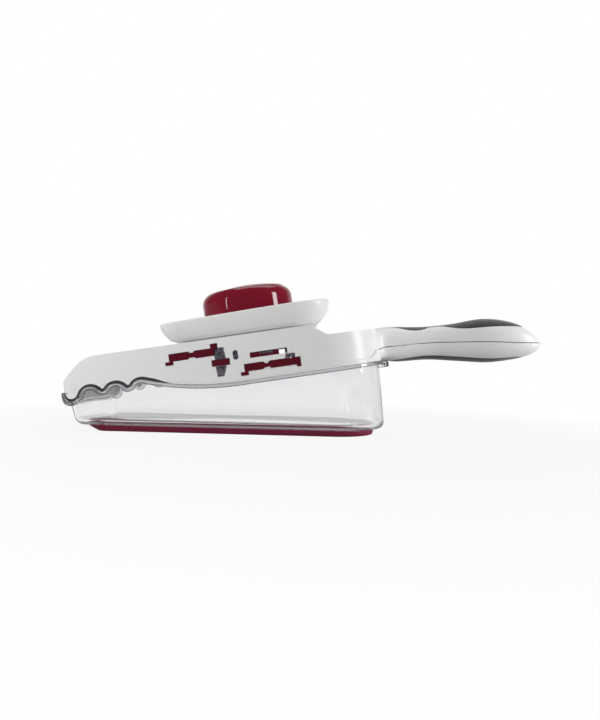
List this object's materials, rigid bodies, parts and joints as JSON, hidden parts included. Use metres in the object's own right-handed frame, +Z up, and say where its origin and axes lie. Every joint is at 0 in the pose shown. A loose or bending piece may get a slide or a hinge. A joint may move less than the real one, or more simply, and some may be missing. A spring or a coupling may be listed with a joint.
{
  "type": "mandoline slicer",
  "caption": "Hand-held mandoline slicer with a sliding food guard, side-loading blade inserts and a clear catch container on a base ring.",
  "frame": {"origin": "on the table under the middle of the overall length, in the middle of the width", "axes": "+X from the slicer's nose towards its handle, +Z up, +Y away from the side that the inserts are pulled out of"},
  "size_m": [0.3696, 0.1192, 0.1165],
  "materials": {
    "white_plastic": "smooth moulded plastic",
    "burgundy_plastic": "glossy moulded plastic",
    "clear_plastic": "clear polished plastic",
    "steel": "ground stainless steel",
    "soft_black": "soft overmoulded rubber, satin"
  },
  "bodies": {
    "base": {"container": "clear_plastic", "base_ring": "burgundy_plastic"},
    "slicer": {"slicer_body": "white_plastic", "edge_grip": "soft_black", "handle_lower_shell": "white_plastic", "handle_top_grip": "soft_black", "handle_bottom_grip": "soft_black", "handle_screws": "steel", "ramp_hinge_pin": "steel"},
    "ramp": {"infeed_ramp": "steel", "ramp_guide_pins": "steel"},
    "straight_insert": {"straight_cartridge": "burgundy_plastic", "straight_blade": "steel"},
    "crinkle_insert": {"crinkle_cartridge": "burgundy_plastic", "crinkle_blade": "steel"},
    "comb_insert": {"comb_carrier": "burgundy_plastic", "coarse_teeth": "steel", "fine_teeth": "steel"},
    "grater_insert": {"grater_frame": "burgundy_plastic", "grater_plate": "steel"},
    "guard": {"guard_tray": "white_plastic"},
    "plunger": {"knob": "burgundy_plastic", "knob_cap": "burgundy_plastic", "food_pusher": "white_plastic", "pusher_spikes": "steel", "plunger_screw": "steel"}
  },
  "joints": [
    {"name": "slicer_lift", "type": "slide", "parent": "base", "child": "slicer", "axis": [-0.1736, 0, 0.9848], "range_m": [0, 0.06]},
    {"name": "ramp_hinge", "type": "hinge", "parent": "slicer", "child": "ramp", "pos_m": [-0.003, 0, 0.06975], "axis": [0, 1, 0], "range_deg": [0, 2.9]},
    {"name": "straight_insert_slide", "type": "slide", "parent": "slicer", "child": "straight_insert", "axis": [0, -1, 0], "range_m": [0, 0.115]},
    {"name": "crinkle_insert_slide", "type": "slide", "parent": "slicer", "child": "crinkle_insert", "axis": [0, -1, 0], "range_m": [0, 0.115]},
    {"name": "comb_insert_slide", "type": "slide", "parent": "slicer", "child": "comb_insert", "axis": [0, -1, 0], "range_m": [0, 0.115]},
    {"name": "grater_insert_slide", "type": "slide", "parent": "slicer", "child": "grater_insert", "axis": [0, -1, 0], "range_m": [0, 0.115]},
    {"name": "guard_slide", "type": "slide", "parent": "slicer", "child": "guard", "axis": [0.9848, 0, 0.1736], "range_m": [-0.058, 0.03]},
    {"name": "plunger_slide", "type": "slide", "parent": "guard", "child": "plunger", "axis": [-0.1736, 0, 0.9848], "range_m": [0, 0.023]}
  ]
}
